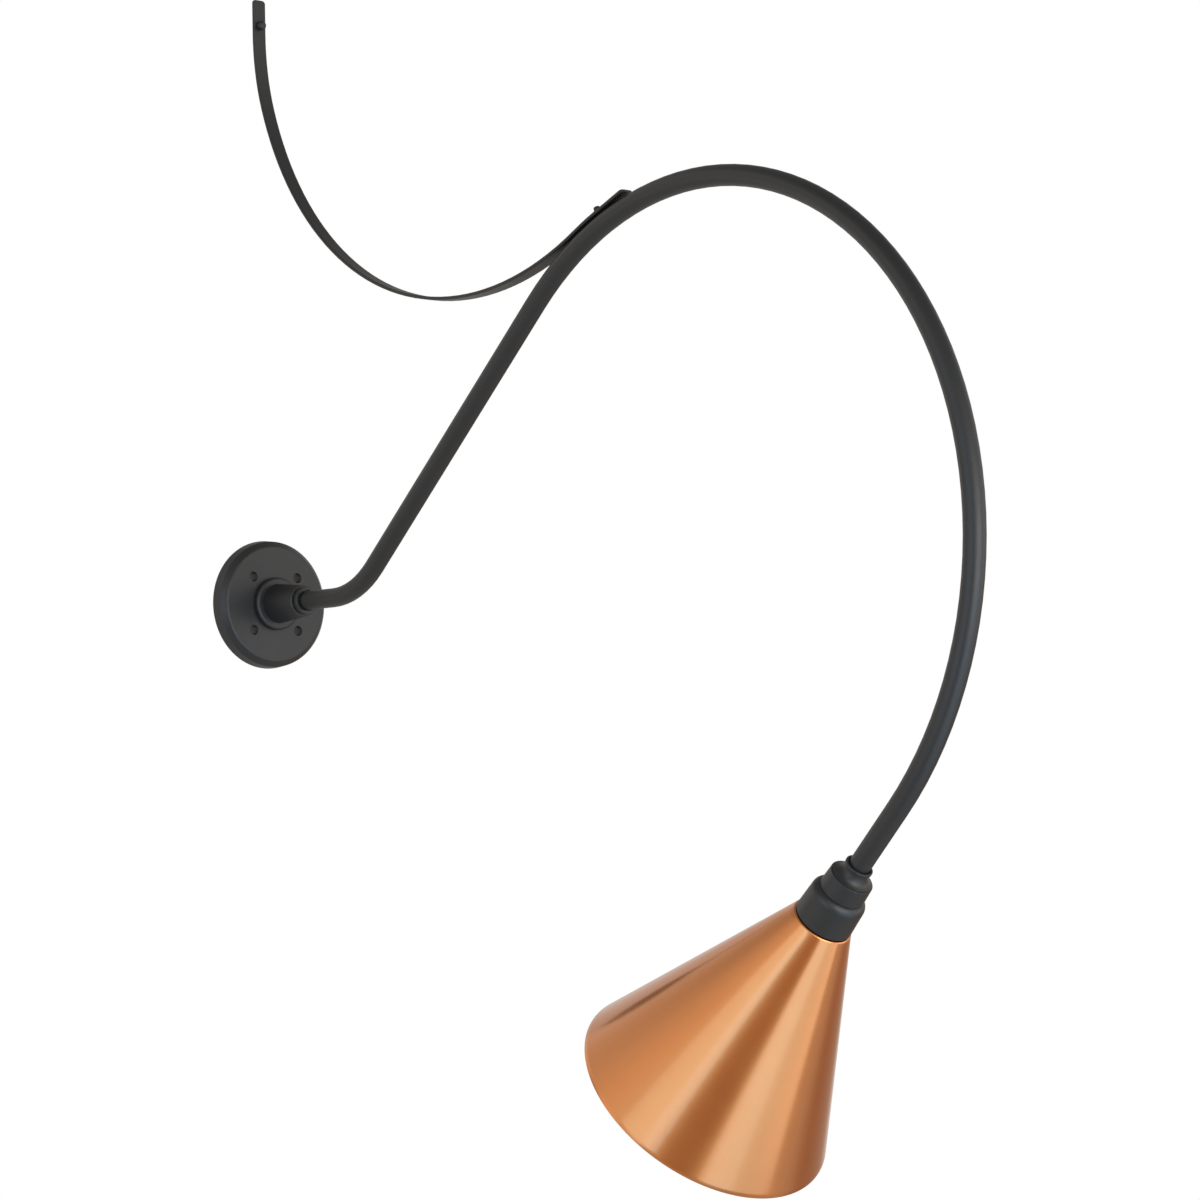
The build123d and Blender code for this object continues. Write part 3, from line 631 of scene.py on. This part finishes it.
# %% [markdown]
# ### Rolled threads
# The bulb's base and the shell that takes it are thin sheet, rolled into a rounded thread of seven
# turns to the inch. A wave that moves one pitch along the axis for each turn makes the helix,
# right-handed as on every bulb. The same wave, measured from the same place, shapes both, so the
# bulb can screw out without touching. The base keeps a plain skirt, crimped to the bulb at eight
# points, and a rounded end. The shell has a flange with an eye instead.

# %% Threads
THREAD_COLUMNS, THREAD_ROWS = 112, 150
THREAD_PITCH = 25.4 / 7 * MM
THREAD_RUN_OUT = 2.5 * MM
CAP_SHARE = 0.06
CRIMPS, CRIMP_EDGE = 8, 0.75
CRIMP_PLACE, CRIMP_REACH = 0.55, 0.35
BASE_SIZES = {"Crest radius": 13.1, "Depth": 0.9, "Start": 66.35, "Length": 21.5, "Skirt": 3.6,
              "Crimp depth": 0.35, "First radius": 0.0, "Last radius": 0.0, "Shoulder": 1.6}
SHELL_SIZES = {"Crest radius": 13.35, "Depth": 0.9, "Start": 56.8, "Length": 26.4, "Skirt": 0.0,
               "Crimp depth": 0.0, "First radius": 9.0, "Last radius": 13.35, "Shoulder": 0.6}
SHELL_GAUGE = 0.42 * MM


def thread_tree(name, sizes, finish):
    graph, values = shape_tree(name, sizes)
    crest, depth, start, length, skirt, dent, first, last, shoulder = values
    grid, angle, share = sheet_grid(graph, THREAD_COLUMNS, THREAD_ROWS)
    reach = (share - CAP_SHARE) / (1 - 2 * CAP_SHARE)
    height = reach.math("MAXIMUM", 0.0).math("MINIMUM", 1.0) * length
    wave = ((start + height) * (FULL_TURN / THREAD_PITCH) - angle).math("COSINE") * 0.5
    stop = length - skirt
    begun = graph.smooth(height, 0.0, shoulder)
    shown = begun * (1 - graph.smooth(height, stop - THREAD_RUN_OUT, stop))
    rounding = shoulder * (1 - begun)
    middle = (height - stop - skirt * CRIMP_PLACE).math("ABSOLUTE")
    pressed = graph.smooth((angle * CRIMPS).math("COSINE"), CRIMP_EDGE, 1.0)
    crimp = pressed * (1 - graph.smooth(middle, 0.0, skirt * CRIMP_REACH))
    wall = crest - depth * shown * (0.5 - wave) - rounding - crimp * dent
    opened = (share / CAP_SHARE).math("MINIMUM", 1.0)
    closed = ((share - (1 - CAP_SHARE)) / CAP_SHARE).math("MAXIMUM", 0.0)
    side = first + (wall - first) * opened
    radius = side + (last - side) * closed
    return end_tree(graph, turn_sheet(graph, grid, angle, radius, start + height), finish)


base = new_piece("bulb_thread", bpy.data.meshes.new("base_sheet"))
run_tree(base, thread_tree("bulb_base_sheet", BASE_SIZES, finishes["nickel"]), BASE_SIZES)
flatten(base)
base.data.transform(NECK_FRAME)
settle(base, "bulb", "nickel", "bulb_base")

shell = new_piece("holder_thread", bpy.data.meshes.new("shell_sheet"))
run_tree(shell, thread_tree("holder_shell_sheet", SHELL_SIZES, finishes["brass"]), SHELL_SIZES)
give_wall(shell, SHELL_GAUGE, OUTWARDS)
flatten(shell)
shell.data.transform(NECK_FRAME)
settle(shell, "fixture", "brass", "screw_shell")

# %% [markdown]
# ### The opal globe
# The bulb ends in a blown globe of opal plastic that stands on the rim of its housing. It is a ball
# cut off at that rim, so the angle from its top, where the two sides meet in one point, gives
# radius and height. Solidify adds the wall on the inside.

# %% Globe
GLOBE_COLUMNS, GLOBE_ROWS = 96, 40
GLOBE_SIZES = {"Radius": 30.0, "Centre": 138.3, "Rim": 126.31}
GLOBE_WALL = 1.6 * MM


def globe_tree(finish):
    graph, (ball, centre, rim) = shape_tree("opal_globe", GLOBE_SIZES)
    grid, angle, share = sheet_grid(graph, GLOBE_COLUMNS, GLOBE_ROWS)
    from_top = ((rim - centre) / ball).math("ARCCOSINE") * (1 - share)
    radius = ball * from_top.math("SINE")
    height = centre + ball * from_top.math("COSINE")
    return end_tree(graph, turn_sheet(graph, grid, angle, radius, height), finish)


globe = new_piece("opal_globe", bpy.data.meshes.new("ball"))
run_tree(globe, globe_tree(finishes["opal"]), GLOBE_SIZES)
give_wall(globe, GLOBE_WALL, INWARDS)
flatten(globe)
globe.data.transform(NECK_FRAME)
settle(globe, "bulb", "opal", "bulb_globe")

# %% [markdown]
# ### Stranded wire
# Under its insulation each lead is seven thin strands, six of them twisted round one. A spiral
# curve is the first strand, Duplicate Elements makes the other five, each turned by a sixth of a
# circle, and a straight line is the core. Curve to Mesh gives them all their thickness. The bare
# ends stick out behind the plate, ready to be joined.

# %% Bare ends
STRANDS, STRAND_STEPS, STRAND_SIDES = 6, 24, 10
STRAND_SIZES = {"Strand radius": 0.166, "Length": 8.0, "Lay length": 12.0}
LEAD_SPREAD = 3.2 * MM
BARE_START = 1.0 * MM
OUT_OF_WALL = Matrix.Rotation(math.radians(90), 4, "Y")


def strand_tree(finish):
    graph, (strand, length, lay) = shape_tree("twisted_strands", STRAND_SIZES)
    spiral = graph.node("GeometryNodeCurveSpiral", None, {
        "Resolution": STRAND_STEPS, "Rotations": length / lay, "Height": length,
        "Start Radius": strand * 2, "End Radius": strand * 2})
    six = graph.tree.nodes.new("GeometryNodeDuplicateElements")
    six.domain = "SPLINE"
    six.inputs["Amount"].default_value = STRANDS
    graph.tree.links.new(spiral.socket, six.inputs["Geometry"])
    spread = graph.node("ShaderNodeVectorRotate", {"rotation_type": "Z_AXIS"}, {
        "Vector": graph.node("GeometryNodeInputPosition"),
        "Angle": Value(graph, six.outputs["Duplicate Index"]) * (FULL_TURN / STRANDS)})
    outer = graph.node("GeometryNodeSetPosition", None, {
        "Geometry": Value(graph, six.outputs["Geometry"]), "Position": spread})
    top = graph.node("ShaderNodeCombineXYZ", None, {"Z": length})
    core = graph.node("GeometryNodeCurvePrimitiveLine", None, {"End": top})
    bundle = graph.node("GeometryNodeJoinGeometry")
    for curves in (outer, core):
        graph.tree.links.new(curves.socket, bundle.socket.node.inputs[0])
    section = {"Resolution": STRAND_SIDES, "Radius": strand}
    round_wire = graph.node("GeometryNodeCurvePrimitiveCircle", None, section)
    wires = graph.node("GeometryNodeCurveToMesh", None, {
        "Curve": bundle, "Profile Curve": round_wire, "Fill Caps": True})
    return end_tree(graph, wires, finish)


tips = new_piece("lead_strands", bpy.data.meshes.new("strand"))
run_tree(tips, strand_tree(finishes["bare_copper"]), STRAND_SIZES)
flatten(tips)
both = bmesh.new()
for side in (-LEAD_SPREAD, LEAD_SPREAD):
    both.from_mesh(tips.data)
    fresh = both.verts[-len(tips.data.vertices):]
    place = Matrix.Translation((BARE_START, side, 0)) @ OUT_OF_WALL
    bmesh.ops.transform(both, matrix=place, verts=fresh)
bmesh.ops.recalc_face_normals(both, faces=both.faces)
both.to_mesh(tips.data)
both.free()
settle(tips, "fixture", "bare_copper", "lead_tips")

# %% [markdown]
# ### Nuts and screws
# A nut's corners are turned down and its edges are never quite sharp, and a bright line along each
# edge is what makes a nut look like metal. A copy of the CAD piece gets that line: its loose
# triangles are welded, flat faces are joined up and a small bevel runs along every edge.

# %% Softened hardware
FLAT_ANGLE = math.radians(1)
BEVEL_ANGLE = math.radians(30)


def softened(name, node, width):
    """A welded copy of a CAD piece with a bevel along its edges."""
    mesh = nodes[node].data.copy()
    shape = bmesh.new()
    shape.from_mesh(mesh)
    bmesh.ops.remove_doubles(shape, verts=shape.verts, dist=WELD)
    bmesh.ops.dissolve_limit(shape, angle_limit=FLAT_ANGLE, verts=shape.verts, edges=shape.edges)
    shape.to_mesh(mesh)
    shape.free()
    piece = new_piece(name, mesh)
    break_edges(piece, width, BEVEL_ANGLE)
    return piece


SOFT_EDGES = {
    "hub_locknut": 0.5, "nipple_locknut": 0.35, "holder_bracket": 0.25, "holder_screws": 0.25}
for node, width in SOFT_EDGES.items():
    piece = softened("soft_" + node, node, width * MM)
    flatten(piece)
    settle(piece, "fixture", slot_of[node], node)

# %% [markdown]
# ### The ground screw's slot
# The green screw takes a flat driver. A bar as wide as the driver's blade lies across the middle of
# its head, and a Boolean takes the bar away from the softened copy.

# %% Slotted screw
DRIVER_SLOT = (2.4 * MM, 12.0 * MM, 1.2 * MM)
SCREW_EDGE = 0.25 * MM

low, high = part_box("ground_screw")
head_middle = Vector((low[0], (low[1] + high[1]) / 2, (low[2] + high[2]) / 2))
blade = bmesh.new()
across_head = Matrix.Translation(head_middle) @ Matrix.Diagonal((*DRIVER_SLOT, 1))
bmesh.ops.create_cube(blade, size=1, matrix=across_head)
bar = new_piece("slot_bar", bpy.data.meshes.new("slot_bar"))
blade.to_mesh(bar.data)
blade.free()
screw = softened("soft_ground_screw", "ground_screw", SCREW_EDGE)
cut = screw.modifiers.new("slot", "BOOLEAN")
cut.object, cut.operation, cut.solver = bar, "DIFFERENCE", "EXACT"
flatten(screw)
bpy.data.objects.remove(bar)
settle(screw, "fixture", slot_of["ground_screw"], "ground_screw")
